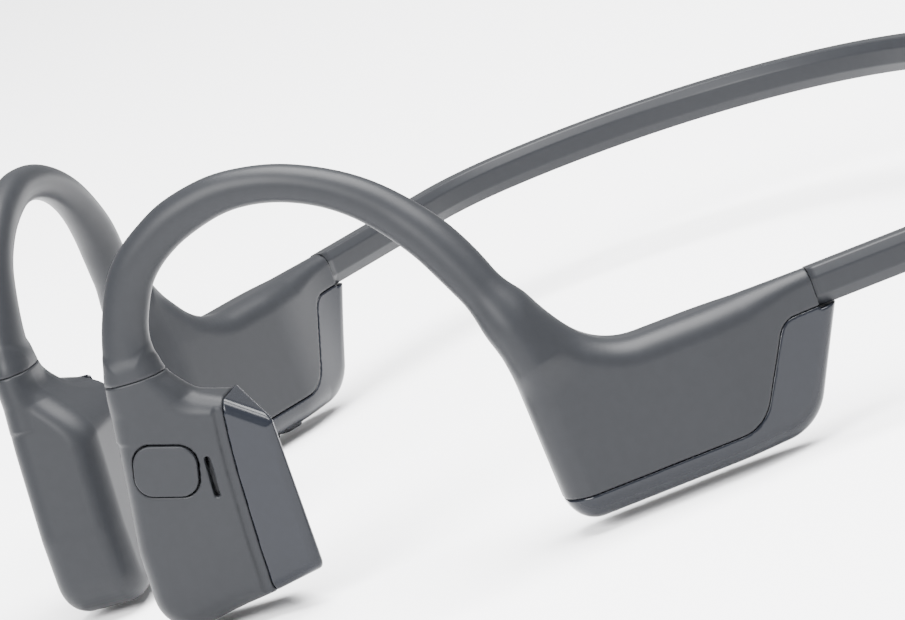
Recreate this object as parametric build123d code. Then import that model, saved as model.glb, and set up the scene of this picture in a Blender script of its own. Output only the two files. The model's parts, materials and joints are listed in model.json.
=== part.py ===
"""Open-ear bone conduction headphones, in millimetres.

Row frame: +X is the wearer's left, -Y the way the wearer faces, +Z up.
The origin is the centre of the bounding box's underside.
The left arm is built first, in two flat working planes: one holds the ear hook and
the earpiece, the other the pod behind the ear. The right arm is its mirror image.
In both planes the local axes are s, rearwards along the arm, z, up, and n, outwards.
"""

import os
from math import cos, hypot, pi, radians, sin

from build123d import *

# ---- where everything stands -----------------------------------------------
Y_MID = 27.536          # from the design origin to the middle of the depth
Z_LIFT = 19.35          # from the band's top line down to the resting plane
HOOK_TURN = 44.0        # how far the hook plane toes in from straight ahead
POD_TURN = 19.0         # how far the pod plane toes in
HOOK_ORIGIN = (14.0, -43.0, 0.0)
POD_ORIGIN = (53.0, 0.0, 0.0)

# ---- ear hook --------------------------------------------------------------
# Centre line (s, z, n) and section (along the radius, across it), hook plane.
HOOK_STATIONS = [
    (3.2, 11.0, 0.4, 7.0, 4.6),
    (4.2, 17.0, 0.2, 5.6, 4.2),
    (7.3, 22.7, 0.0, 5.2, 4.0),
    (14.2, 27.3, 0.0, 5.0, 4.0),
    (23.4, 28.4, 0.0, 4.5, 4.2),
    (31.9, 25.9, 0.0, 4.5, 4.4),
    (39.0, 20.7, 0.6, 5.0, 4.8),
    (44.3, 14.0, 1.6, 5.8, 5.4),
    (47.3, 8.2, 2.3, 6.4, 6.0),
]
WIRE_R = 0.45           # nickel titanium wire in the hooks
LEAD_R = 0.4            # bundle of enamelled leads beside it
WIRE_OFFSET = 0.9       # the wire's distance from the hook's centre line
CHANNEL_GAP = 0.06      # between a wire and its channel

# ---- earpiece --------------------------------------------------------------
EAR_OUTLINE = [(-0.4, 11.0), (-3.7, -9.0), (-4.2, -20.3), (20.0, -15.9), (20.0, 1.0), (6.6, 9.5), (6.75, 11.0)]
EAR_CORNER_R = 6.5      # lower front corner
EAR_NECK_R = 1.0        # where the neck runs into the body's top
EAR_OUT = 3.1           # outer face, n
EAR_SPLIT = -1.6        # outer shell meets face shell
EAR_IN = -7.6           # face that lies on the cheekbone
EAR_WALL = 1.1
EAR_EDGE_R = 2.3        # outer shell's rounded edge
FACE_TOP = 5.4          # top of the face shell
FACE_INSET = 0.9        # face shell's outline inside the outer shell's
FACE_EDGE_R = 3.2
VENT_AT = (3.4, -17.0, -3.6)
VENT_SIZE = (6.4, 3.4, 2.0)
SEAM_TOP = (12.9, 7.0)  # gloss cover's seam, a straight line
SEAM_FOOT = (10.7, -19.5)

# ---- speaker cover ---------------------------------------------------------
COVER_OUTLINE = [(12.75, 5.9), (18.0, 2.3), (16.6, -16.2), (10.85, -17.7)]
COVER_OUT = 2.2         # outer face, n
COVER_RIM = 0.9         # outer face to the slanted outlet
OUTLET_TURN = 38.0      # outlet's slant towards the ear canal
GRILLE_T = 0.5
COVER_WALL = 0.9

# ---- multifunction button --------------------------------------------------
BUTTON_AT = (3.75, -0.1)
BUTTON_SIZE = (7.6, 6.0)
BUTTON_TURN = -15.0
BUTTON_R = 2.2
BUTTON_GAP = 0.15
BUTTON_PROUD = 0.2
BUTTON_TRAVEL = 0.35
SLOT_AT = (8.75, -2.2)
SLOT_SIZE = (0.9, 4.9)
SLOT_TURN = -4.5

# ---- pod behind the ear ----------------------------------------------------
POD_OUTLINE = [
    (-14.6, 7.4), (-9.6, 10.6), (-1.8, -0.9), (22.9, -0.9), (22.9, -5.8), (25.3, -5.8), (18.6, -18.9),
    (-11.0, -18.9), (-12.4, 0.0),
]
POD_HALF = 4.2          # half thickness
POD_EDGE_R = 1.6
POD_PLAN = [(-17.0, 2.9), (-9.5, POD_HALF), (11.5, POD_HALF), (22.9, 1.95), (27.0, 1.95)]
POD_WALL = 1.2
POD_VALLEY_R = 9.0
POD_FRONT_R = 3.6       # lower front corner
POD_REAR_R = 6.5        # lower rear corner
BOOT_Z = -15.7          # gloss boot's straight seam
BOOT_OUTLINE = [(-16.0, BOOT_Z), (12.2, BOOT_Z), (18.2, -5.3), (30.0, -5.3), (30.0, -24.0), (-16.0, -24.0)]
BOOT_SEAM_R = 5.0

# ---- volume buttons, charging port, indicator ------------------------------
KEY_SIZE = (3.8, 2.6)   # along s, along n
KEY_AT = (3.4, 7.8)     # middles of the two keys along s
KEY_PROUD = 0.45
KEY_TRAVEL = 0.35
KEY_GAP = 0.12
PORT_AT = -4.1          # middle of the charging port along s
PORT_SIZE = (8.34, 2.56)
PORT_SHELL = 0.35
PORT_DEPTH = 6.2
LIGHT_AT = 12.0         # indicator, along s
LIGHT_R = 0.5

# ---- boards and battery ----------------------------------------------------
BATTERY_SIZE = (20.0, 11.5, 4.6)
BATTERY_AT = (2.0, -9.3, 0.5)
CELL_BOARD_T = 0.6
CELL_FOAM_T = 0.2
BOARD_T = 0.8
BOARD_FACE = -1.63      # the main board's outer face, n

# ---- neckband --------------------------------------------------------------
BAND_Z = -3.35          # middle of the band's height
BAND_START = 22.9       # where it leaves the pod, s
BAND_STRAIGHT = 23.1
BAND_BENDS = [(25.3, -8.0), (50.1, -78.8)]      # radius, heading at the end
BAND_SECTION = [
    (-1.15, 2.35), (1.15, 2.35), (1.75, 1.0), (1.75, -1.1), (0.65, -2.35), (-0.65, -2.35), (-1.75, -1.1),
    (-1.75, 1.0),
]
BAND_WIRE_R = 0.5
BAND_WIRE_Z = 0.75      # above the band's middle
BAND_LEAD_Z = -0.95
HINGE_HEADING = -45.0   # the band bends about this point of its corner
KNUCKLE_R = 1.95
KNUCKLE_GAP = 0.08


def turned_plane(origin, turn):
    """Working plane whose local axes are s, z and n."""
    a = radians(turn)
    return Plane(origin=origin, x_dir=(sin(a), cos(a), 0), z_dir=(cos(a), -sin(a), 0))


HOOK = turned_plane(HOOK_ORIGIN, HOOK_TURN)
POD = turned_plane(POD_ORIGIN, POD_TURN)


def at(plane, s, z, n):
    """A point of a working plane in the design frame."""
    return plane.from_local_coords(Vector(s, z, n))


def outline(points, corners):
    """Polygon face with some corners rounded: corners maps a point's number to its radius."""
    face = make_face(Polyline(*points, close=True))
    for number, radius in corners.items():
        x, y = points[number]
        corner = min(face.vertices(), key=lambda v: hypot(v.X - x, v.Y - y))
        face = fillet(corner, radius)
    return face


def slab(plane, face, low, high):
    """A local face made solid between two heights along n."""
    return extrude(plane.offset(low) * face, high - low)


def end_face(part, plane, side):
    """The solid's face that lies furthest out (side 1) or in (side -1) along n."""
    return max(part.faces(), key=lambda f: side * plane.to_local_coords(f.center()).Z)


def block(plane, centre, size):
    """Box in a working plane, from its middle (s, z, n) and its size along those axes."""
    return plane * Pos(*centre) * Box(*size)


def disc(plane, centre, radius, height):
    """Cylinder whose axis is n, from its middle."""
    return plane * Pos(*centre) * Cylinder(radius, height)


def pill(plane, centre, size, height, radius, turn=0.0):
    """Rounded rectangle made solid along n, from its middle."""
    return plane * Pos(*centre) * Rot(0, 0, turn) * extrude(RectangleRounded(*size, radius), height / 2, both=True)


# ---- ear hook --------------------------------------------------------------
def hook_line(offset=0.0):
    """Centre line of the hook, or a line beside it, offset towards its outer edge."""
    count = len(HOOK_STATIONS)
    points = []
    for i, (s, z, n, *_) in enumerate(HOOK_STATIONS):
        before = HOOK_STATIONS[max(i - 1, 0)]
        after = HOOK_STATIONS[min(i + 1, count - 1)]
        ds, dz = after[0] - before[0], after[1] - before[1]
        length = hypot(ds, dz)
        points.append(at(HOOK, s - offset * dz / length, z + offset * ds / length, n))
    return Spline(*points)


def hook_sleeve():
    """Silicone sleeve: a loft of ellipses along the centre line, with two channels."""
    line = hook_line()
    sections = []
    for s, z, n, tall, wide in HOOK_STATIONS:
        share = line.param_at_point(at(HOOK, s, z, n))
        tangent = line.tangent_at(share)
        across = HOOK.z_dir - tangent * tangent.dot(HOOK.z_dir)
        plane = Plane(origin=at(HOOK, s, z, n), x_dir=across, z_dir=tangent)
        sections.append(plane * Ellipse(wide / 2, tall / 2))
    sleeve = loft(sections)
    for side, radius in ((WIRE_OFFSET, WIRE_R), (-WIRE_OFFSET, LEAD_R)):
        sleeve -= hook_strand(side, radius + CHANNEL_GAP)
        sleeve -= ear_lead(side, radius + CHANNEL_GAP)
    return sleeve - block(HOOK, (0, 1.0, 0), (40, 20, 20))


def hook_strand(offset, radius):
    line = hook_line(offset)
    return sweep(Plane(origin=line @ 0, z_dir=line % 0) * Circle(radius), path=line)


# ---- earpiece --------------------------------------------------------------
def seam_cutter(side):
    """Everything in front of the gloss cover's seam (side -1) or behind it (side 1)."""
    top, foot = SEAM_TOP, SEAM_FOOT
    reach = 40.0 * side
    points = [top, (top[0] + reach, top[1]), (foot[0] + reach, foot[1]), foot]
    grown = [(p[0], p[1] + (20.0 if i < 2 else -20.0)) for i, p in enumerate(points)]
    slope = (top[0] - foot[0]) / (top[1] - foot[1])
    grown[0] = (top[0] + 20.0 * slope, top[1] + 20.0)
    grown[3] = (foot[0] - 20.0 * slope, foot[1] - 20.0)
    return slab(HOOK, make_face(Polyline(*grown, close=True)), -20.0, 20.0)


def ear_outline(inset=0.0):
    face = outline(EAR_OUTLINE, {2: EAR_CORNER_R, 5: EAR_NECK_R})
    return offset(face, -inset, kind=Kind.INTERSECTION) if inset else face


def neck_filler():
    """Solid neck above the cavity, which holds the ends of the hook's wire."""
    return slab(HOOK, Pos(3.0, 13.0) * Rectangle(20.0, 12.0), -10.0, 10.0)


def earpiece_outer_shell(with_button):
    """Outer half of the earpiece, one skin with the hook's front leg."""
    full = slab(HOOK, ear_outline(), EAR_SPLIT, EAR_OUT)
    full = fillet(end_face(full, HOOK, 1).edges(), EAR_EDGE_R)
    hollow = slab(HOOK, ear_outline(EAR_WALL), EAR_SPLIT - 1.0, EAR_OUT - EAR_WALL) - neck_filler()
    shell = full - hollow - seam_cutter(1)
    shell -= pill(HOOK, (*SLOT_AT, EAR_OUT), SLOT_SIZE, 4 * EAR_WALL, SLOT_SIZE[0] * 0.49, SLOT_TURN)
    for side, radius in ((WIRE_OFFSET, WIRE_R), (-WIRE_OFFSET, LEAD_R)):
        shell -= ear_lead(side, radius + CHANNEL_GAP)
        shell -= hook_strand(side, radius + CHANNEL_GAP)
    if with_button:
        opening = (BUTTON_SIZE[0] + 2 * BUTTON_GAP, BUTTON_SIZE[1] + 2 * BUTTON_GAP)
        shell -= pill(HOOK, (*BUTTON_AT, EAR_OUT), opening, 4 * EAR_WALL, BUTTON_R + BUTTON_GAP, BUTTON_TURN)
    return shell


def ear_lead(side, radius):
    """Straight bore that carries a hook strand down through the neck into the cavity."""
    top, foot = hook_line(side) @ 0, at(HOOK, 3.0 - side, 5.0, 0.4)
    return sweep(Plane(origin=top, z_dir=foot - top) * Circle(radius), path=Line(top, foot))


def face_outline(inset=0.0):
    """Face shell's outline: the earpiece's, drawn in and cut off below the neck."""
    face = offset(ear_outline(), -FACE_INSET, kind=Kind.INTERSECTION)
    face &= Pos(0, FACE_TOP - 20.0) * Rectangle(80, 40)
    corner = min(face.vertices(), key=lambda v: hypot(v.X + 20, v.Y - FACE_TOP - 20))
    face = fillet(corner, 4.5)
    return offset(face, -inset, kind=Kind.INTERSECTION) if inset else face


def face_shell_and_vent():
    """Inner half of the earpiece, which lies on the cheekbone, and the mesh in its foot."""
    full = slab(HOOK, face_outline(), EAR_IN, EAR_SPLIT)
    full = fillet(end_face(full, HOOK, -1).edges(), FACE_EDGE_R)
    hollow = slab(HOOK, face_outline(EAR_WALL), EAR_IN + EAR_WALL, EAR_SPLIT + 1.0)
    shell = full - hollow - seam_cutter(1)
    vent = block(HOOK, VENT_AT, VENT_SIZE)
    return shell - vent, shell & vent


# ---- speaker cover ---------------------------------------------------------
def outlet_plane():
    """Slanted plane of the sound outlet; its local Z points out towards the ear canal."""
    a = radians(OUTLET_TURN)
    rear = at(HOOK, 17.6, 0, COVER_OUT - COVER_RIM)
    out = HOOK.x_dir * cos(a) - HOOK.z_dir * sin(a)
    return Plane(origin=rear, x_dir=(0, 0, 1), z_dir=out)


def cover_body(inset=0.0, out_inset=0.0):
    """Outer or inner form of the gloss cover, cut off at the slanted outlet."""
    face = make_face(Polyline(*COVER_OUTLINE, close=True))
    if inset:
        face = offset(face, -inset, kind=Kind.INTERSECTION) + Pos(-inset, 0) * offset(face, -inset, kind=Kind.INTERSECTION)
    body = slab(HOOK, face, EAR_IN + 1.2 + inset, COVER_OUT - out_inset)
    cut = outlet_plane()
    return body - extrude(cut * Rectangle(80, 80), 40)


def speaker_cover():
    """Gloss cover behind the seam, with a recess for the grille at its outlet."""
    body = cover_body()
    long_edges = [e for e in body.edges() if abs(HOOK.to_local_coords(e.center()).Z - COVER_OUT) < 0.05]
    upper = max(long_edges, key=lambda e: e.center().Z)
    lower = min(long_edges, key=lambda e: e.center().Z)
    body = fillet([upper, lower], 1.5)
    hollow = cover_body(COVER_WALL, COVER_WALL)
    return (body - hollow) & seam_cutter(1)


def speaker_grille():
    """Mesh plate set in the outlet, with rows of slots."""
    cut = outlet_plane()
    inner = cover_body(COVER_WALL, COVER_WALL)
    plate = inner & extrude(cut.offset(-GRILLE_T - 0.15) * Rectangle(80, 80), GRILLE_T)
    plate &= seam_cutter(1)
    for row in range(3):
        for column in range(5):
            spot = Pos(-13.2 + 2.9 * column, -2.2 - 1.5 * row)
            plate -= extrude(cut.offset(-2.0) * spot * SlotOverall(1.9, 0.6), 4.0)
    return plate


# ---- drivers ---------------------------------------------------------------
DRIVER_AT = (3.6, -8.2)
DRIVER_R = 5.0


def bone_driver():
    """The bone conduction driver's pieces, from the face inwards: plate, coil, magnet, yoke."""
    s, z = DRIVER_AT
    plate = disc(HOOK, (s, z, -6.1), DRIVER_R - 0.2, 0.5)
    for k in range(3):
        angle = 2 * pi * k / 3
        plate -= disc(HOOK, (s + 2.9 * cos(angle), z + 2.9 * sin(angle), -6.1), 0.9, 2.0)
    coil = disc(HOOK, (s, z, -4.75), 3.6, 2.0) - disc(HOOK, (s, z, -4.75), 2.9, 3.0)
    magnet = disc(HOOK, (s, z, -4.1), 2.6, 2.4)
    yoke = disc(HOOK, (s, z, -3.7), 4.7, 3.6) - disc(HOOK, (s, z, -4.2), 3.9, 2.6) - disc(HOOK, (s, z, -5.2), 3.9, 1.0)
    yoke -= disc(HOOK, (s, z, -4.1), 2.6, 2.4)
    return {"bone_plate": plate, "bone_coil": coil, "bone_magnet": magnet, "bone_yoke": yoke}


def air_driver():
    """Small oval loudspeaker behind the outlet grille."""
    cut = outlet_plane().offset(-2.4)
    case = extrude(cut * Pos(-7.2, -3.2) * RectangleRounded(11.0, 4.2, 1.8), 1.2, both=True)
    return largest(case & cover_body(COVER_WALL + 0.05, COVER_WALL + 0.05))


def microphone():
    s, z = SLOT_AT
    return block(HOOK, (s, z, 1.2), (1.0, 3.4, 1.2))


# ---- multifunction button --------------------------------------------------
def mfb_button():
    """Cap with a flange inside the shell and a stem over the switch."""
    inside = EAR_OUT - EAR_WALL
    top, under = EAR_OUT + BUTTON_PROUD, inside - 0.55
    cap = pill(HOOK, (*BUTTON_AT, (top + under) / 2), BUTTON_SIZE, top - under, BUTTON_R, BUTTON_TURN)
    cap = fillet(end_face(cap, HOOK, 1).edges(), 0.18)
    flange_size = (BUTTON_SIZE[0] + 0.9, BUTTON_SIZE[1] + 0.9)
    cap += pill(HOOK, (*BUTTON_AT, inside - 0.3), flange_size, 0.5, BUTTON_R + 0.4, BUTTON_TURN)
    stem = disc(HOOK, (*BUTTON_AT, under - 0.15), 1.0, 0.4)
    return cap + stem


def mfb_switch():
    """Dome switch on its small board, clear of the stem at full travel."""
    top = EAR_OUT - EAR_WALL - 0.9 - BUTTON_TRAVEL - 0.1
    board = pill(HOOK, (*BUTTON_AT, top - 0.75), (7.6, 4.6), 0.5, 0.6, BUTTON_TURN)
    dome = disc(HOOK, (*BUTTON_AT, top - 0.25), 1.7, 0.5)
    return board + dome


# ---- pod -------------------------------------------------------------------
def pod_outline(inset=0.0):
    corners = {2: POD_VALLEY_R, 6: POD_REAR_R, 7: POD_FRONT_R, 8: 6.0}
    face = outline(POD_OUTLINE, corners)
    return offset(face, -inset, kind=Kind.INTERSECTION) if inset else face


def pod_plan(inset=0.0):
    """The pod seen from above, made solid: full thickness that tapers to the band and the nose."""
    near = [(s, half - inset) for s, half in POD_PLAN]
    far = [(s, -half) for s, half in reversed(near)]
    flat = Plane(origin=POD.origin - Vector(0, 0, 30), x_dir=POD.x_dir, z_dir=(0, 0, 1))
    face = make_face(Polyline(*[(s, -n) for s, n in near + far], close=True))
    return extrude(flat * face, 60)


def pod_body():
    """The pod's whole outer form, edges rounded on both sides."""
    full = slab(POD, pod_outline(), -POD_HALF, POD_HALF)
    for side in (1, -1):
        full = fillet(end_face(full, POD, side).edges(), POD_EDGE_R)
    return full & pod_plan()


def pod_hollow():
    """Hollow form, with a solid nose for the hook and a solid tail for the band."""
    hollow = slab(POD, pod_outline(POD_WALL), -POD_HALF + POD_WALL, POD_HALF - POD_WALL) & pod_plan(POD_WALL)
    nose = slab(POD, Pos(-12.0, 8.5) * Rectangle(24, 16), -10, 10)
    tail = slab(POD, Pos(24.0, -6.0) * Rectangle(14, 40), -10, 10)
    return hollow - nose - tail


def boot_region():
    """Everything below the gloss boot's seam."""
    return slab(POD, outline(BOOT_OUTLINE, {1: BOOT_SEAM_R, 2: 2.5}), -10, 10)


def pod_bores(extra):
    """The ends of the hook's and the band's strands in the pod, or their bores."""
    bores = {}
    for name, side, radius in (("hook_wire", WIRE_OFFSET, WIRE_R), ("hook_leads", -WIRE_OFFSET, LEAD_R)):
        bores[name] = hook_strand(side, radius + extra)
    for name, height, radius, length in (
        ("band_memory_wire", BAND_WIRE_Z, BAND_WIRE_R, 4.0), ("band_leads", BAND_LEAD_Z, LEAD_R, 7.0),
    ):
        end = at(POD, BAND_START, BAND_Z + height, 0)
        bores[name] = run(end - POD.x_dir * length, end, radius + extra)
    return bores


def run(start, end, radius):
    """Straight round bar between two points."""
    return sweep(Plane(origin=start, z_dir=end - start) * Circle(radius), path=Line(start, end))


# ---- volume keys, charging port, indicator ---------------------------------
def foot_pill(along, z, size, height, radius):
    """Rounded rectangle lying in the pod's underside, made solid along z."""
    centre = at(POD, along, z, 0)
    plane = Plane(origin=centre, x_dir=POD.x_dir, z_dir=(0, 0, 1))
    return plane * extrude(RectangleRounded(*size, radius), height / 2, both=True)


def volume_key(along):
    """Key in the pod's underside, with a flange inside and a stem under its switch."""
    foot = POD_OUTLINE[7][1] - KEY_PROUD
    inside = POD_OUTLINE[7][1] + POD_WALL
    top = inside + 0.6
    key = foot_pill(along, (foot + top) / 2, KEY_SIZE, top - foot, 1.2)
    key = fillet(min(key.faces(), key=lambda f: f.center().Z).edges(), 0.3)
    key += foot_pill(along, inside + 0.35, (KEY_SIZE[0] + 0.5, KEY_SIZE[1] + 1.0), 0.5, 1.3)
    return key + foot_pill(along, top + 0.2, (1.2, 1.2), 0.4, 0.59)


def key_holes():
    size = (KEY_SIZE[0] + 2 * KEY_GAP, KEY_SIZE[1] + 2 * KEY_GAP)
    low = POD_OUTLINE[7][1]
    return [foot_pill(along, low, size, 4.0, 1.2 + KEY_GAP) for along in KEY_AT]


def port_sleeve(extra=0.0):
    size = [v + 2 * PORT_SHELL + 2 * extra for v in PORT_SIZE]
    low = POD_OUTLINE[7][1] + 0.15
    return foot_pill(PORT_AT, low + PORT_DEPTH / 2, size, PORT_DEPTH, size[1] / 2 - 0.01)


def charging_port():
    """Oval socket with its contact tongue."""
    low = POD_OUTLINE[7][1] + 0.15
    room = foot_pill(PORT_AT, low + (PORT_DEPTH - 0.6) / 2 - 1, PORT_SIZE, PORT_DEPTH + 1.4, PORT_SIZE[1] / 2 - 0.01)
    tongue = foot_pill(PORT_AT, low + 0.9 + (PORT_DEPTH - 0.9) / 2, (6.7, 0.7), PORT_DEPTH - 0.9, 0.2)
    return port_sleeve() - room + tongue


def board_pieces():
    """Main board in the right pod, its shield and the two volume switches."""
    board = block(POD, (2.2, -10.0, BOARD_FACE - BOARD_T / 2), (21.0, 13.4, BOARD_T))
    shield = block(POD, (4.4, -6.6, BOARD_FACE + 0.6), (9.0, 5.4, 1.2))
    inside = POD_OUTLINE[7][1] + POD_WALL
    low = inside + 1.0 + KEY_TRAVEL + 0.1
    switches = block(POD, (sum(KEY_AT) / 2, low + 1.1, (BOARD_FACE + 1.4) / 2), (8.2, 1.2, 1.4 - BOARD_FACE))
    for along in KEY_AT:
        switches += foot_pill(along, low + 0.25, (2.0, 2.0), 0.5, 0.9)
    return {"main_board": board, "board_shield": shield, "volume_switches": switches}


def battery_pieces():
    """Pouch cell in the left pod, its protection board and the foam between them."""
    s, z, n = BATTERY_AT
    wide, high, thick = BATTERY_SIZE
    cell = block(POD, BATTERY_AT, BATTERY_SIZE)
    cell = fillet(cell.edges().filter_by(lambda e: abs(e.tangent_at(0.5).dot(POD.z_dir)) > 0.99), 0.8)
    inner = n - thick / 2
    foam = block(POD, (s, z, inner - CELL_FOAM_T / 2), (wide - 4, high - 3, CELL_FOAM_T))
    board = block(POD, (s, z, inner - CELL_FOAM_T - CELL_BOARD_T / 2), (wide - 2, high - 2, CELL_BOARD_T))
    return {"battery_cell": cell, "battery_foam": foam, "battery_board": board}


# ---- band ------------------------------------------------------------------
def outward(heading):
    """Unit vector to the band's outer side, where the band runs at a heading."""
    return Vector(cos(radians(heading)), -sin(radians(heading)), 0)


def band_plane(point, heading):
    """Plane across the band: local X to its outer side, local Y up."""
    return Plane(origin=point, x_dir=outward(heading), z_dir=(-sin(radians(heading)), -cos(radians(heading)), 0))


def band_corner(point, heading, radius, end):
    """Where a bend of the band ends."""
    return point + (outward(end) - outward(heading)) * radius


def bend(face, point, heading, radius, end):
    """Section turned about a bend's centre."""
    centre = point - outward(heading) * radius
    return revolve(band_plane(point, heading) * face, Axis(centre, (0, 0, 1)), heading - end)


def band_bar(face):
    """Section carried along the whole band, from pod to pod."""
    heading = POD_TURN
    here = at(POD, BAND_START, BAND_Z, 0)
    side = extrude(band_plane(here, heading) * face, -BAND_STRAIGHT)
    here += POD.x_dir * BAND_STRAIGHT
    for radius, end in BAND_BENDS:
        side += bend(face, here, heading, radius, end)
        here, heading = band_corner(here, heading, radius, end), end
    back = bend(face, here, heading, here.X / outward(heading).X, -180.0 - heading)
    return side + back + mirror(side, about=Plane.YZ)


def hinge_plane():
    """Plane across the band at its bend: its Z runs along the band towards the back."""
    heading = POD_TURN
    here = at(POD, BAND_START, BAND_Z, 0) + POD.x_dir * BAND_STRAIGHT
    for radius, end in BAND_BENDS:
        end = max(end, HINGE_HEADING)
        here, heading = band_corner(here, heading, radius, end), end
        if end == HINGE_HEADING:
            break
    a = radians(HINGE_HEADING)
    return Plane(origin=here, x_dir=(0, 0, 1), z_dir=(sin(a), cos(a), 0))


def behind(distance):
    """Everything behind the left bend, from a distance past its axis."""
    return extrude(hinge_plane().offset(distance) * Rectangle(60, 400), 200)


def knuckle(radius):
    return Pos(*hinge_plane().origin) * Cylinder(radius, 20)


def between_bends(part, distance):
    """The stretch of a bar that lies behind both bends, from a distance past their axes."""
    rear = part & behind(distance)
    return rear & mirror(behind(distance), about=Plane.YZ)


def band_pieces():
    """Sleeve, wire and leads of the band, each as a left and a rear piece."""
    section = make_face(Polyline(*BAND_SECTION, close=True))
    strands = {"band_memory_wire": (BAND_WIRE_Z, BAND_WIRE_R), "band_leads": (BAND_LEAD_Z, LEAD_R)}
    for height, radius in strands.values():
        section -= Pos(0, height) * Circle(radius + CHANNEL_GAP)
    bar = band_bar(section)
    side = Pos(150, 0, 0) * Box(300, 600, 100)
    front = (bar & side) - behind(0)
    hub = bar & knuckle(KNUCKLE_R)
    rear = between_bends(bar, 0) - knuckle(KNUCKLE_R + KNUCKLE_GAP)
    rear -= mirror(knuckle(KNUCKLE_R + KNUCKLE_GAP), about=Plane.YZ)
    pieces = {"band_sleeve": (front + hub, rear)}
    for name, (height, radius) in strands.items():
        strand = band_bar(Pos(0, height) * Circle(radius))
        front = (strand & side) - behind(-0.3)
        pieces[name] = (front, between_bends(strand, KNUCKLE_R + 0.3))
    return pieces


# ---- assembly --------------------------------------------------------------
def largest(part):
    """The main solid, without any splinter that a cut left beside it."""
    return max(part.solids(), key=lambda solid: solid.volume)


def build_nodes():
    """Every node by name, in the design frame."""
    nodes = {}

    def pair(name, left_part, right_part=None):
        nodes[name + "_left"] = left_part
        nodes[name + "_right"] = mirror(right_part or left_part, about=Plane.YZ)

    pair("earpiece_outer_shell", earpiece_outer_shell(True), earpiece_outer_shell(False))
    face, vent = face_shell_and_vent()
    pair("earpiece_face_shell", face)
    pair("earpiece_vent", vent)
    pair("speaker_cover", speaker_cover())
    pair("speaker_grille", speaker_grille())
    pair("air_driver", air_driver())
    pair("microphone", microphone())
    for name, part in bone_driver().items():
        pair(name, part)
    nodes["multifunction_button"] = mfb_button()
    nodes["multifunction_switch"] = mfb_switch()

    body, hollow, region = pod_body(), pod_hollow(), boot_region()
    ends = pod_bores(0.0)
    pair("hook_sleeve", largest(hook_sleeve() - body))
    pair("hook_wire", ends["hook_wire"] + ear_lead(WIRE_OFFSET, WIRE_R))
    pair("hook_leads", ends["hook_leads"] + ear_lead(-WIRE_OFFSET, LEAD_R))

    upper = body - hollow - region
    for bore in pod_bores(CHANNEL_GAP).values():
        upper -= bore
    lower = (body & region) - hollow
    drilled = lower - port_sleeve(0.03)
    for hole in key_holes():
        drilled -= hole
    light = foot_pill(LIGHT_AT, POD_OUTLINE[7][1] + 0.65, (2 * LIGHT_R, 2 * LIGHT_R), 1.3, LIGHT_R - 0.01)
    pair("pod_shell", largest(upper))
    pair("pod_boot", largest(lower), largest(drilled - light))
    right_side = {"charging_port": charging_port(), "indicator_light": light}
    right_side["volume_up_button"] = volume_key(KEY_AT[0])
    right_side["volume_down_button"] = volume_key(KEY_AT[1])
    right_side.update(board_pieces())
    for name, part in right_side.items():
        nodes[name] = mirror(part, about=Plane.YZ)
    nodes.update(battery_pieces())

    for name, (left, rear) in band_pieces().items():
        if name in ends:
            left += ends[name]
        pair(name, left)
        nodes[name + "_rear"] = rear
    return nodes


if __name__ == "__main__":
    os.makedirs("parts", exist_ok=True)
    for name, part in build_nodes().items():
        export_step(part.moved(Location((0, -Y_MID, Z_LIFT))), f"parts/{name}.step")
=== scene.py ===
"""Look of the bone conduction headphones: soft-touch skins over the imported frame, lights and camera.

Lengths in the shape code are millimetres in the design frame: +X the wearer's left, -Y the way the
wearer faces, +Z up. place() turns them into metres in the row frame.
"""
import math

import bpy
import numpy as np
from mathutils import Matrix
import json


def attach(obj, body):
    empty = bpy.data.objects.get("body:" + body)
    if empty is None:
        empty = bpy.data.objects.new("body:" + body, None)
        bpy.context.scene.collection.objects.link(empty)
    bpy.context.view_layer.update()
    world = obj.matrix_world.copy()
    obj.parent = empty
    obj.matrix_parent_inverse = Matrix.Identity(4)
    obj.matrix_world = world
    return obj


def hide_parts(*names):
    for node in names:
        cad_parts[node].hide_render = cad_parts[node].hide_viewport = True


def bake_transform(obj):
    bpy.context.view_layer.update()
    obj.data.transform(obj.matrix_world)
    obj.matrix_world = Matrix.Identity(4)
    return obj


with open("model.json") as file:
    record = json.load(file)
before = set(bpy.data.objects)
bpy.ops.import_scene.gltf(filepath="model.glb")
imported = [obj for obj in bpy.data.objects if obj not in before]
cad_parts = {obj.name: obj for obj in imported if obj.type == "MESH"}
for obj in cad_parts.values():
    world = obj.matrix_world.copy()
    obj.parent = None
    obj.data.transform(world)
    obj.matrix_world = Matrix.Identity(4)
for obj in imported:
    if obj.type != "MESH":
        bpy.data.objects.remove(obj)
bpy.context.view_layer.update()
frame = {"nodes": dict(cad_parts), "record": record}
NODES = frame["nodes"]

Y_MID = 27.536
Z_LIFT = 19.35
STEP = 0.24             # grid of the moulded skins
FINE_STEP = 0.2         # grid of the earpiece's skins
SEAM = 0.03             # each skin stands back from a seam by this much
SEAM_R = 0.15           # rounding of a skin's edge at a seam
BAND_SEAM = 22.86       # where a pod's skin ends at the band, s in the pod's plane
BAND_Z = -3.35          # middle of the band's height
BUTTON_S, BUTTON_Z = 3.75, -0.1
BUTTON_TURN = math.radians(-15.0)
BUTTON_SIZE = (7.7, 6.0, 2.2)       # width, height, corner radius
SLOT_S, SLOT_Z = 8.75, -2.2
SLOT_SIZE = (0.75, 4.9, 0.37)
OUTLET_TURN = math.radians(38.0)


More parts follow.
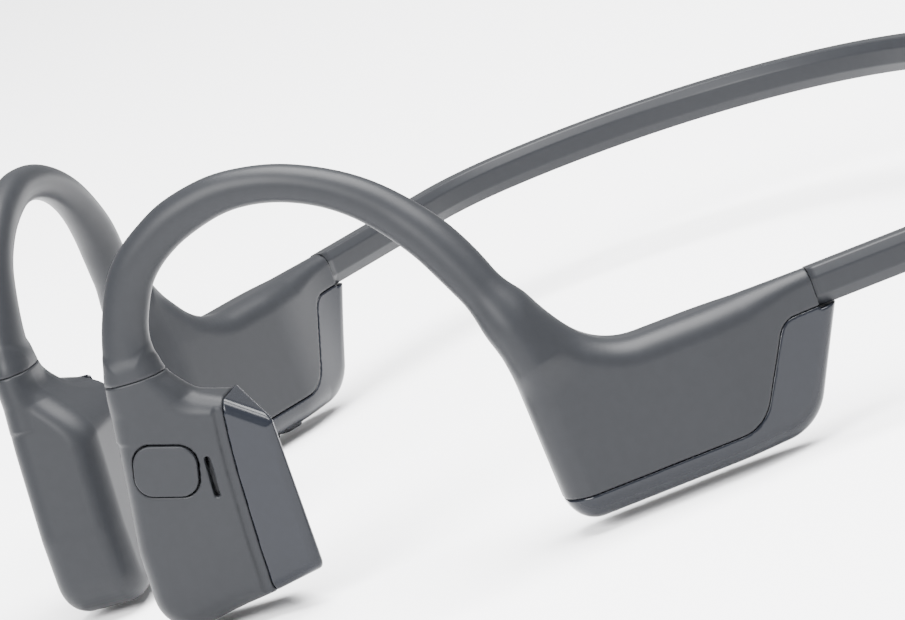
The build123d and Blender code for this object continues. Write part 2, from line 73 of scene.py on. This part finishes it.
# ---- working planes ---------------------------------------------------------
class Flat:
    """Upright working plane: s runs rearwards along the arm, z up, n outwards."""

    def __init__(self, x, y, turn):
        a = math.radians(turn)
        self.origin = np.array([x, y, 0.0])
        self.s = np.array([math.sin(a), math.cos(a), 0.0])
        self.n = np.array([math.cos(a), -math.sin(a), 0.0])

    def local(self, p):
        q = p - self.origin
        return q @ self.s, q[:, 2], q @ self.n

    def world(self, s, z, n):
        point = self.origin + np.multiply.outer(np.asarray(s, float), self.s)
        point = point + np.multiply.outer(np.asarray(n, float), self.n)
        point[..., 2] += z
        return point


HOOK = Flat(14.0, -43.0, 44.0)
POD = Flat(53.0, 0.0, 19.0)


def place(points):
    """Design frame in millimetres to the row frame in metres."""
    return (np.asarray(points, float) + np.array([0.0, -Y_MID, Z_LIFT])) / 1000.0


# ---- outlines ---------------------------------------------------------------
def rounded(corners):
    """Closed outline from (s, z, corner radius) points, as a dense polyline."""
    out = []
    count = len(corners)
    for i, (x, y, r) in enumerate(corners):
        p = np.array([x, y])
        a = np.array(corners[i - 1][:2]) - p
        b = np.array(corners[(i + 1) % count][:2]) - p
        if r <= 0:
            out.append(p)
            continue
        ua, ub = a / np.linalg.norm(a), b / np.linalg.norm(b)
        half = math.acos(max(-1.0, min(1.0, float(ua @ ub)))) / 2
        reach = min(r / math.tan(half), 0.49 * np.linalg.norm(a), 0.49 * np.linalg.norm(b))
        r = reach * math.tan(half)
        middle = ua + ub
        centre = p + middle / np.linalg.norm(middle) * (r / math.sin(half))
        v0, v1 = p + ua * reach - centre, p + ub * reach - centre
        turn = math.atan2(v0[0] * v1[1] - v0[1] * v1[0], float(v0 @ v1))
        for t in np.linspace(0, turn, 13):
            c, s = math.cos(t), math.sin(t)
            out.append(centre + np.array([v0[0] * c - v0[1] * s, v0[0] * s + v0[1] * c]))
    return np.array(out)


class Outline:
    """Signed distance to a closed outline, read from a fine table of values."""

    def __init__(self, corners, pitch=0.2, margin=14.0):
        pts = rounded(corners)
        self.low = pts.min(0) - margin
        size = np.ceil((pts.max(0) + margin - self.low) / pitch).astype(int) + 1
        self.pitch = pitch
        gx, gy = np.meshgrid(np.arange(size[0]), np.arange(size[1]), indexing="ij")
        p = np.stack([gx, gy], -1).reshape(-1, 2) * pitch + self.low
        best = np.full(len(p), 1e9)
        inside = np.zeros(len(p), bool)
        for a, b in zip(pts, np.roll(pts, -1, 0)):
            ab = b - a
            t = np.clip(((p - a) @ ab) / max(float(ab @ ab), 1e-12), 0, 1)
            best = np.minimum(best, ((p - a - t[:, None] * ab) ** 2).sum(1))
            crosses = (a[1] > p[:, 1]) != (b[1] > p[:, 1])
            if crosses.any():
                x = a[0] + (p[:, 1] - a[1]) * (b[0] - a[0]) / (b[1] - a[1] if b[1] != a[1] else 1e-12)
                inside ^= crosses & (p[:, 0] < x)
        self.table = np.where(inside, -1, 1) * np.sqrt(best)
        self.table = self.table.reshape(size)

    def __call__(self, s, z):
        u = (s - self.low[0]) / self.pitch
        v = (z - self.low[1]) / self.pitch
        i = np.clip(np.floor(u).astype(int), 0, self.table.shape[0] - 2)
        j = np.clip(np.floor(v).astype(int), 0, self.table.shape[1] - 2)
        fu, fv = u - i, v - j
        t = self.table
        low = t[i, j] * (1 - fv) + t[i, j + 1] * fv
        high = t[i + 1, j] * (1 - fv) + t[i + 1, j + 1] * fv
        return low * (1 - fu) + high * fu


# ---- distance functions -----------------------------------------------------
def slab(d, n, half, r):
    """An outline's distance made solid to +-half along n, edges rounded by r."""
    a, b = d + r, np.abs(n) - half + r
    return np.minimum(np.maximum(a, b), 0) + np.hypot(np.maximum(a, 0), np.maximum(b, 0)) - r


def join(a, b, k):
    """Union of two distances, blended over k."""
    h = np.clip(0.5 + 0.5 * (b - a) / k, 0, 1)
    return b * (1 - h) + a * h - k * h * (1 - h)


def meet(a, b, k):
    """Intersection of two distances, its edge rounded over k."""
    return -join(-a, -b, k)


def ramp(x, low, high):
    """Smooth step from 0 at low to 1 at high."""
    t = np.clip((x - low) / (high - low), 0, 1)
    return t * t * (3 - 2 * t)


class Tube:
    """Bar of elliptical section: stations are (x, y, z, half height, half width)."""

    def __init__(self, stations, sideways, count=260):
        st = np.array(stations, float)
        n = len(st)
        pad = np.vstack([2 * st[0] - st[1], st, 2 * st[-1] - st[-2]])
        rows = []
        for u in np.linspace(0, n - 1 - 1e-9, count):
            i = int(u)
            t = u - i
            a, b, c, d = pad[i:i + 4]
            rows.append(0.5 * (2 * b + (c - a) * t + (2 * a - 5 * b + 4 * c - d) * t * t
                               + (3 * b - a - 3 * c + d) * t ** 3))
        rows = np.array(rows)
        self.p, self.size = rows[:, :3], rows[:, 3:]
        tangent = np.gradient(self.p, axis=0)
        self.t = tangent / np.linalg.norm(tangent, axis=1)[:, None]
        side = np.asarray(sideways)[None, :] - self.t * (self.t @ np.asarray(sideways))[:, None]
        self.w = side / np.linalg.norm(side, axis=1)[:, None]
        self.u = np.cross(self.t, self.w)
        self.gap = np.linalg.norm(np.diff(self.p, axis=0), axis=1).mean()

    def __call__(self, q):
        out = np.empty(len(q))
        for k in range(0, len(q), 40000):
            c = q[k:k + 40000]
            far = (self.p ** 2).sum(1)[None, :] - 2 * c @ self.p.T
            i = far.argmin(1)
            off = c - self.p[i]
            along = np.einsum("ij,ij->i", off, self.t[i])
            step = np.clip(along / self.gap, -0.5, 0.5)
            j = np.clip(i + np.sign(step).astype(int), 0, len(self.p) - 1)
            f = np.abs(step)[:, None]
            size = self.size[i] * (1 - f) + self.size[j] * f
            centre = self.p[i] * (1 - f) + self.p[j] * f
            off = c - centre
            x = np.einsum("ij,ij->i", off, self.u[i])
            y = np.einsum("ij,ij->i", off, self.w[i])
            z = np.einsum("ij,ij->i", off, self.t[i])
            a, b = size[:, 0], size[:, 1]
            m = np.sqrt((x / a) ** 2 + (y / b) ** 2) + 1e-9
            g = np.sqrt((x / a ** 2) ** 2 + (y / b ** 2) ** 2) + 1e-9
            d = m * (m - 1) / g
            out[k:k + 40000] = np.where(np.abs(z) > self.gap, np.hypot(np.maximum(d, 0), z), d)
        return out


# ---- surface of a distance function -----------------------------------------
def moulded(name, field, low, high, step=STEP):
    """Mesh of field(points) = 0 in the design frame, drawn onto the surface itself."""
    low, high = np.array(low, float), np.array(high, float)
    coarse = step * 4
    cells = np.ceil((high - low) / coarse).astype(int) + 1
    grid = np.stack(np.meshgrid(*[np.arange(c) for c in cells], indexing="ij"), -1)
    dc = field((grid.reshape(-1, 3) + 0.5) * coarse + low).reshape(cells)
    near = np.abs(dc) < coarse * 1.35
    d = np.repeat(np.repeat(np.repeat(np.where(dc < 0, -9.0, 9.0), 4, 0), 4, 1), 4, 2)
    mask = np.repeat(np.repeat(np.repeat(near, 4, 0), 4, 1), 4, 2)
    at = np.argwhere(mask)
    d[mask] = field(at * step + low)
    s = d < 0
    total = np.zeros(np.array(s.shape) - 1, int)
    for dx in (0, 1):
        for dy in (0, 1):
            for dz in (0, 1):
                total += s[dx:s.shape[0] - 1 + dx, dy:s.shape[1] - 1 + dy, dz:s.shape[2] - 1 + dz]
    cell = np.argwhere((total > 0) & (total < 8))
    index = np.full(total.shape, -1)
    index[tuple(cell.T)] = np.arange(len(cell))
    place_sum, hits = np.zeros((len(cell), 3)), np.zeros(len(cell))
    for axis in range(3):
        others = [a for a in range(3) if a != axis]
        for u in (0, 1):
            for v in (0, 1):
                a = cell.copy()
                a[:, others[0]] += u
                a[:, others[1]] += v
                b = a.copy()
                b[:, axis] += 1
                da, db = d[tuple(a.T)], d[tuple(b.T)]
                cut = (da < 0) != (db < 0)
                t = np.where(cut, da / np.where(cut, da - db, 1), 0)
                p = a + t[:, None] * (b - a)
                place_sum += np.where(cut[:, None], p, 0)
                hits += cut
    vert = place_sum / hits[:, None] * step + low
    for _ in range(3):
        value = field(vert)
        e = 0.03
        g = np.stack([field(vert + e * axis) - field(vert - e * axis) for axis in np.eye(3)], -1)
        g /= 2 * e
        move = value / np.maximum((g ** 2).sum(1), 0.25)
        vert -= np.clip(move, -step, step)[:, None] * g
    quads = []
    for axis in range(3):
        b, c = [(1, 2), (2, 0), (0, 1)][axis]
        n = list(s.shape)
        lo = [slice(1, n[k] - 1) for k in range(3)]
        hi = [slice(1, n[k] - 1) for k in range(3)]
        hi[axis] = slice(2, n[axis])
        first, second = s[tuple(lo)], s[tuple(hi)]
        edge = np.argwhere(first != second) + 1
        flip = first[tuple((edge - 1).T)]
        ring = []
        for u, v in ((0, 0), (-1, 0), (-1, -1), (0, -1)):
            k = edge.copy()
            k[:, b] += u
            k[:, c] += v
            ring.append(index[tuple(k.T)])
        ring = np.stack(ring, -1)
        ring[~flip] = ring[~flip][:, ::-1]
        quads.append(ring)
    return mesh_object(name, place(vert), np.vstack(quads))


def mesh_object(name, verts, faces):
    """Object from vertices in the row frame, its quads shaded smooth."""
    mesh = bpy.data.meshes.new(name)
    mesh.from_pydata(np.asarray(verts).tolist(), [], [list(map(int, f)) for f in faces])
    mesh.polygons.foreach_set("use_smooth", [len(f) == 4 for f in faces])
    mesh.update()
    obj = bpy.data.objects.new(name, mesh)
    bpy.context.collection.objects.link(obj)
    return obj


def mirrored(obj, name):
    """Mirror image about the middle plane, for the other arm."""
    count = len(obj.data.vertices)
    co = np.empty(count * 3)
    obj.data.vertices.foreach_get("co", co)
    co = co.reshape(-1, 3) * np.array([-1, 1, 1])
    faces = [tuple(reversed(p.vertices)) for p in obj.data.polygons]
    return mesh_object(name, co, faces)


# ---- materials --------------------------------------------------------------
def material(name, base, rough, spot=0.06, grain=0.0, metal=0.0, scale=900.0, spec=0.5):
    """Node material: colour and roughness vary a little with noise in the piece's own coordinates."""
    m = bpy.data.materials.new(name)
    m.use_nodes = True
    nt = m.node_tree
    bsdf = nt.nodes["Principled BSDF"]
    coord = nt.nodes.new("ShaderNodeTexCoord")
    noise = nt.nodes.new("ShaderNodeTexNoise")
    noise.inputs["Scale"].default_value = scale
    noise.inputs["Detail"].default_value = 3.0
    nt.links.new(coord.outputs["Object"], noise.inputs["Vector"])
    ramp_node = nt.nodes.new("ShaderNodeValToRGB")
    low = [c * (1 - spot) for c in base] + [1.0]
    high = [min(1.0, c * (1 + spot)) for c in base] + [1.0]
    ramp_node.color_ramp.elements[0].position = 0.35
    ramp_node.color_ramp.elements[0].color = low
    ramp_node.color_ramp.elements[1].position = 0.65
    ramp_node.color_ramp.elements[1].color = high
    nt.links.new(noise.outputs["Fac"], ramp_node.inputs["Fac"])
    nt.links.new(ramp_node.outputs["Color"], bsdf.inputs["Base Color"])
    wide = nt.nodes.new("ShaderNodeTexNoise")
    wide.inputs["Scale"].default_value = scale / 12
    nt.links.new(coord.outputs["Object"], wide.inputs["Vector"])
    spread = nt.nodes.new("ShaderNodeMapRange")
    spread.inputs["To Min"].default_value = max(rough - 0.03, 0.0)
    spread.inputs["To Max"].default_value = min(rough + 0.03, 1.0)
    nt.links.new(wide.outputs["Fac"], spread.inputs["Value"])
    nt.links.new(spread.outputs["Result"], bsdf.inputs["Roughness"])
    bsdf.inputs["Metallic"].default_value = metal
    bsdf.inputs["Specular IOR Level"].default_value = spec
    if grain:
        fine = nt.nodes.new("ShaderNodeTexNoise")
        fine.inputs["Scale"].default_value = scale * 4
        nt.links.new(coord.outputs["Object"], fine.inputs["Vector"])
        bump = nt.nodes.new("ShaderNodeBump")
        bump.inputs["Strength"].default_value = grain
        bump.inputs["Distance"].default_value = 0.00002
        nt.links.new(fine.outputs["Fac"], bump.inputs["Height"])
        nt.links.new(bump.outputs["Normal"], bsdf.inputs["Normal"])
    return m


SOFT = material("soft_touch", (0.0122, 0.0130, 0.0150), 0.42, 0.03, 0.10, spec=0.15)
GLOSS = material("gloss_slate", (0.0065, 0.0075, 0.0105), 0.20, 0.04, 0.0, spec=0.20)
BUTTON = material("button_slate", (0.0122, 0.0130, 0.0150), 0.42, 0.03, 0.10, spec=0.15)
KEY = material("key_slate", (0.012, 0.0135, 0.0165), 0.50, 0.04, 0.15, spec=0.15)
MESH = material("black_mesh", (0.012, 0.012, 0.014), 0.55, 0.20, 0.6, metal=0.4)
STEEL = material("drawn_steel", (0.45, 0.46, 0.48), 0.30, 0.05, 0.1, metal=1.0)
COPPER = material("enamelled_copper", (0.55, 0.24, 0.10), 0.35, 0.08, 0.1, metal=1.0)
BLACK = material("black_case", (0.018, 0.018, 0.020), 0.45, 0.15, 0.3)
BOARD = material("solder_resist", (0.015, 0.10, 0.05), 0.35, 0.10, 0.1)
FOIL = material("cell_foil", (0.55, 0.56, 0.58), 0.35, 0.05, 0.3, metal=0.9)
LIGHT = material("light_pipe", (0.50, 0.52, 0.55), 0.30, 0.04)

CAD_LOOKS = {
    "soft_shell": SOFT, "soft_skin": SOFT, "gloss_shell": GLOSS, "mesh": MESH, "spring_wire": STEEL,
    "enamelled_lead": COPPER, "steel_yoke": STEEL, "magnet": STEEL, "black_case": BLACK,
    "button_cap": BUTTON, "key_cap": KEY, "circuit_board": BOARD, "cell_pouch": FOIL, "foam": BLACK,
    "port_steel": STEEL, "light_pipe": LIGHT,
}


def dress(obj, look):
    """Gives a piece its material."""
    obj.data.materials.clear()
    obj.data.materials.append(look)
    return obj


for part in frame["record"]["subparts"]:
    cad = NODES[part["node"]]
    cad.data.materials.clear()
    cad.data.materials.append(CAD_LOOKS[part["material_slot"]])

# ---- the left arm's forms ---------------------------------------------------
HOOK_LINE = [
    (2.2, 4.0, 0.3, 3.7, 2.5), (3.2, 10.8, 0.4, 3.6, 2.35), (3.4, 13.8, 0.3, 3.02, 2.15),
    (4.2, 17.0, 0.1, 2.72, 2.05), (6.0, 20.8, 0.0, 2.68, 2.0), (7.9, 23.2, 0.0, 2.6, 2.0),
    (10.7, 25.3, 0.0, 2.5, 2.0), (14.3, 27.1, 0.0, 2.5, 2.0), (19.2, 28.35, 0.0, 2.35, 2.0),
    (23.4, 28.4, 0.0, 2.22, 2.0), (27.6, 27.6, 0.0, 2.2, 2.05), (31.9, 25.9, 0.1, 2.22, 2.1),
    (35.7, 23.6, 0.3, 2.35, 2.2), (39.0, 20.7, 0.65, 2.5, 2.35), (42.3, 17.0, 1.3, 2.65, 2.6),
    (44.8, 13.2, 2.1, 2.7, 2.65), (47.0, 9.2, 3.0, 2.5, 2.5), (49.2, 5.0, 4.0, 2.0, 2.1),
    (50.6, 0.5, 4.6, 1.4, 1.6),
]
hook_tube = Tube([(*HOOK.world(s, z, n), a, b) for s, z, n, a, b in HOOK_LINE], HOOK.n)

pod_edge = Outline([
    (-13.3, 6.4, 4), (-9.2, 8.6, 2), (-1.9, -0.8, 9), (23.0, -1.0, 3),
    (40.0, -1.05, 0), (40.0, -5.68, 0), (25.1, -5.72, 0.5),
    (18.6, -18.9, 6.5), (-11.4, -18.9, 3.4), (-12.45, 2.0, 6),
])
boot_edge = Outline([
    (-18, -15.7, 0), (12.2, -15.7, 5), (18.2, -5.35, 2.5), (30, -5.35, 0), (30, -30, 0), (-18, -30, 0)])
ear_edge = Outline([
    (0.7, 14.0, 0), (-0.2, 11.5, 6), (-3.75, -9.0, 10), (-4.2, -20.3, 6.8), (17.5, -16.2, 1.2), (18.1, 2.2, 0.8),
    (12.7, 6.1, 0.8), (9.4, 7.5, 3.5), (6.4, 11.5, 4), (6.0, 14.0, 0)])


def pod_field(p):
    """Pod joined to the hook: thinner towards the band, the nose and the hook."""
    s, z, n = POD.local(p)
    half = 4.2 - 2.4 * ramp(s, 8.0, 23.0) - 0.7 * ramp(-s, 8.0, 13.5) * ramp(-z, -4.0, 4.0)
    half = half - 1.3 * ramp(z, -2.0, 9.0)
    n = n + 0.8 * ramp(z, -1.0, 9.0)
    round_r = np.minimum(3.1, 0.94 * half)
    body = slab(pod_edge(s, z), n, half, round_r)
    return join(body, hook_tube(p), 4.0)


def arm_field(p):
    """Hook and pod joined to the earpiece's neck."""
    neck = np.where(p[:, 2] > 9.0, ear_field(p), 9.0)
    return join(pod_field(p), neck, 0.7)


def hook_pod(p):
    """Matte skin of hook and pod, cut at the boot, the band and the earpiece."""
    s, z, _ = POD.local(p)
    hs, hz, _ = HOOK.local(p)
    d = arm_field(p)
    d = meet(d, -boot_edge(s, z) + SEAM, SEAM_R)
    d = meet(d, s - BAND_SEAM, SEAM_R)
    neck = np.where(hs < 16, 10.87 - hz, -9.0)
    return meet(d, neck, SEAM_R)


def boot(p):
    """Gloss boot under the pod, a hair inside the matte skin's surface."""
    s, z, _ = POD.local(p)
    d = meet(pod_field(p) + 0.05, boot_edge(s, z) + SEAM, 0.2)
    return meet(d, np.minimum(s - BAND_SEAM, z + 5.78), 0.1)


def seam_line(z):
    """The gloss cover's seam: s as a function of z."""
    return np.interp(z, [-20, -17.9, -14.7, -11.6, -6.9, -2.3, 1.5, 5.9, 8],
                     [10.6, 10.8, 11.0, 11.1, 11.4, 11.7, 12.1, 12.75, 13.1])


def ear_field(p):
    """Whole earpiece, which narrows upwards into the hook's neck."""
    s, z, n = HOOK.local(p)
    outer, inner = 3.1, -7.6
    middle, half = (outer + inner) / 2, (outer - inner) / 2
    neck = ramp(z, 1.0, 10.0)
    middle = middle * (1 - neck) + 0.4 * neck
    half = half * (1 - neck) + 2.35 * neck
    edge = 3.0 - 1.3 * ramp(s, 5.0, 11.5) * (1 - neck)
    return slab(ear_edge(s, z), n - middle, half, np.minimum(edge, 0.97 * half))


def cover_field(p):
    """Gloss cover before its seam is cut, with the slanted outlet."""
    s, z, n = HOOK.local(p)
    slant = (s - 17.7) * math.cos(OUTLET_TURN) - (n - 1.9) * math.sin(OUTLET_TURN)
    body = slab(ear_edge(s, z), n + 2.3, 4.9, 1.5)
    return meet(body, slant, 0.5)


def button_local(s, z):
    """Point of the hook plane in the button's own axes."""
    u, v = s - BUTTON_S, z - BUTTON_Z
    c, k = math.cos(BUTTON_TURN), math.sin(BUTTON_TURN)
    return u * c + v * k, -u * k + v * c


def pill_distance(u, v, wide, high, r):
    """Signed distance to a rounded rectangle about the origin."""
    a, b = np.abs(u) - wide / 2 + r, np.abs(v) - high / 2 + r
    return np.minimum(np.maximum(a, b), 0) + np.hypot(np.maximum(a, 0), np.maximum(b, 0)) - r


def ear_front(p, with_button=True):
    """Matte skin of the earpiece, with the button's pocket and the slot beside it."""
    s, z, n = HOOK.local(p)
    d = join(hook_tube(p), ear_field(p), 0.7)
    d = meet(d, s - seam_line(z) + SEAM, SEAM_R)
    d = meet(d, z - 10.83, SEAM_R)
    edge = seam_line(z) - 1.4
    d = meet(d, n - 3.1 + 0.5 * ramp(s - edge, 0.0, 0.5), 0.3)
    u, v = button_local(s, z)
    rim = pill_distance(u, v, *BUTTON_SIZE)
    if with_button:
        opening = np.maximum(rim - 0.14, 1.9 - n)
        room = np.maximum(np.maximum(rim - 0.85, n - 2.08), -0.9 - n)
        d = meet(d, -np.minimum(opening, room), 0.1)
    x, y = s - SLOT_S, z - SLOT_Z
    slot = pill_distance(x * 0.997 - y * 0.078, y * 0.997 + x * 0.078, *SLOT_SIZE)
    return meet(d, -np.maximum(slot, 2.0 - n), 0.12)


def cover(p):
    """Gloss speaker cover behind its seam."""
    s, z, _ = HOOK.local(p)
    return meet(cover_field(p), seam_line(z) + SEAM - s, 0.2)


def low_high(points, margin):
    """Corners of the box round some points, grown by a margin."""
    points = np.asarray(points)
    return points.min(0) - margin, points.max(0) + margin


pod_corners = [POD.world(s, z, n) for s in (-16, 26) for z in (-19, 9) for n in (-4.4, 4.4)]
lo, hi = low_high(np.vstack([hook_tube.p, pod_corners]), 3.4)
skin = dress(moulded("hook_pod_left", hook_pod, lo, hi), SOFT)
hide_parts("hook_sleeve_left", "pod_shell_left")
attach(skin, "left_arm")

lo, hi = low_high(pod_corners, 1.0)
gloss = dress(moulded("pod_boot_skin_left", boot, lo, hi), GLOSS)
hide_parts("pod_boot_left")
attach(gloss, "left_arm")

ear_corners = [HOOK.world(s, z, n) for s in (-5, 19) for z in (-20, 12) for n in (-8, 3.6)]
lo, hi = low_high(ear_corners, 0.8)
ear = dress(moulded("earpiece_skin_left", ear_front, lo, hi, FINE_STEP), SOFT)
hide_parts("earpiece_outer_shell_left", "earpiece_face_shell_left")
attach(ear, "left_arm")
speaker = dress(moulded("speaker_skin_left", cover, lo, hi, FINE_STEP), GLOSS)
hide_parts("speaker_cover_left")
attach(speaker, "left_arm")

plain_ear = moulded("plain_earpiece", lambda p: ear_front(p, False), lo, hi, FINE_STEP)
for source, name, look, slot, nodes in (
        (skin, "hook_pod_right", SOFT, "soft_shell", ("hook_sleeve_right", "pod_shell_right")),
        (gloss, "pod_boot_skin_right", GLOSS, "gloss_shell", ("pod_boot_right",)),
        (plain_ear, "earpiece_skin_right", SOFT, "soft_shell",
         ("earpiece_outer_shell_right", "earpiece_face_shell_right")),
        (speaker, "speaker_skin_right", GLOSS, "gloss_shell", ("speaker_cover_right",))):
    twin = dress(mirrored(source, name), look)
    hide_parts(*nodes)
    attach(twin, "right_arm")


bpy.data.objects.remove(plain_ear)


# ---- band -------------------------------------------------------------------
def band_line():
    """Points and headings of the band's left half, from the pod to the middle of the back."""
    here, heading = POD.world(22.9, BAND_Z, 0.0), 19.0
    rows = []
    for t in np.linspace(0, 23.1, 24):
        rows.append((*(here + POD.s * t), heading))
    here = here + POD.s * 23.1
    for radius, end in ((25.3, -8.0), (50.1, -78.8), (0.0, -90.0)):
        radius = radius or here[0] / math.cos(math.radians(heading))
        steps = max(8, int(abs(end - heading)))
        a0 = math.radians(heading)
        for k in range(1, steps + 1):
            a = a0 + (math.radians(end) - a0) * k / steps
            x = here[0] + radius * (math.cos(a) - math.cos(a0))
            y = here[1] + radius * (math.sin(a0) - math.sin(a))
            rows.append((x, y, BAND_Z, math.degrees(a)))
        here, heading = np.array(rows[-1][:3]), end
    return np.array(rows)


def band_half(name):
    """Left half of the band: its section carried along the line."""
    section = rounded([
        (-1.0, 2.33, 0.5), (1.0, 2.33, 0.5), (1.72, 1.2, 0.7), (1.72, -0.9, 0.5), (0.65, -2.33, 0.45),
        (-0.65, -2.33, 0.45), (-1.72, -0.9, 0.5), (-1.72, 1.2, 0.7)])
    rows = band_line()
    verts = []
    for x, y, z, heading in rows:
        a = math.radians(heading)
        out = np.array([math.cos(a), -math.sin(a), 0.0])
        verts.append(np.array([x, y, z]) + section[:, :1] * out + section[:, 1:] * np.array([0, 0, 1.0]))
    count = len(section)
    faces = []
    for i in range(len(rows) - 1):
        for k in range(count):
            a, b = i * count + k, i * count + (k + 1) % count
            faces.append((a, b, b + count, a + count))
    first = tuple(range(count))
    last = tuple(reversed([i + (len(rows) - 1) * count for i in first]))
    return mesh_object(name, place(np.vstack(verts)), faces + [first, last])


band_left = dress(band_half("band_skin_left"), SOFT)
band_right = dress(mirrored(band_left, "band_skin_right"), SOFT)
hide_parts("band_sleeve_left", "band_sleeve_rear")
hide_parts("band_sleeve_right")
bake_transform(band_left)
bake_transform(band_right)

# ---- floor, light, camera ---------------------------------------------------
bpy.ops.mesh.primitive_plane_add(size=6.0, location=(0, 0, -0.001))
floor = bpy.context.object
floor.name = "floor"
pale = material("pale_floor", (0.86, 0.86, 0.87), 0.8, 0.004, 0.0, scale=6.0, spec=0.2)
floor.data.materials.append(pale)

world = bpy.data.worlds.new("studio")
bpy.context.scene.world = world
world.use_nodes = True
world.node_tree.nodes["Background"].inputs["Color"].default_value = (1.0, 1.0, 1.0, 1.0)
world.node_tree.nodes["Background"].inputs["Strength"].default_value = 0.75


def softbox(name, position, target, size, power):
    """Rectangular lamp aimed at a point, in metres."""
    data = bpy.data.lights.new(name, "AREA")
    data.shape = "RECTANGLE"
    data.size, data.size_y = size
    data.energy = power
    lamp = bpy.data.objects.new(name, data)
    bpy.context.collection.objects.link(lamp)
    back = np.array(position, float) - np.array(target, float)
    back /= np.linalg.norm(back)
    side = np.cross([0, 0, 1.0], back)
    side /= np.linalg.norm(side)
    up = np.cross(back, side)
    m = Matrix([[side[0], up[0], back[0], position[0]], [side[1], up[1], back[1], position[1]],
                [side[2], up[2], back[2], position[2]], [0, 0, 0, 1]])
    lamp.matrix_world = m
    return lamp


softbox("key_left", (0.30, -0.75, 0.55), (0.0, -0.02, 0.02), (0.5, 0.5), 26.0)
softbox("top", (0.1, 0.15, 0.9), (0.0, 0.0, 0.02), (0.8, 0.8), 60.0)

camera = bpy.data.cameras.new("camera")
camera.lens = 244.9
camera.sensor_width = 36.0
camera.clip_start = 0.05
view = bpy.data.objects.new("camera", camera)
bpy.context.collection.objects.link(view)
view.matrix_world = Matrix([
    [0.47440, -0.02006, 0.88008, 0.652142],
    [0.81480, 0.38844, -0.43036, -0.338462],
    [-0.33323, 0.92126, 0.20062, 0.166267],
    [0, 0, 0, 1]])
bpy.context.scene.camera = view

import json
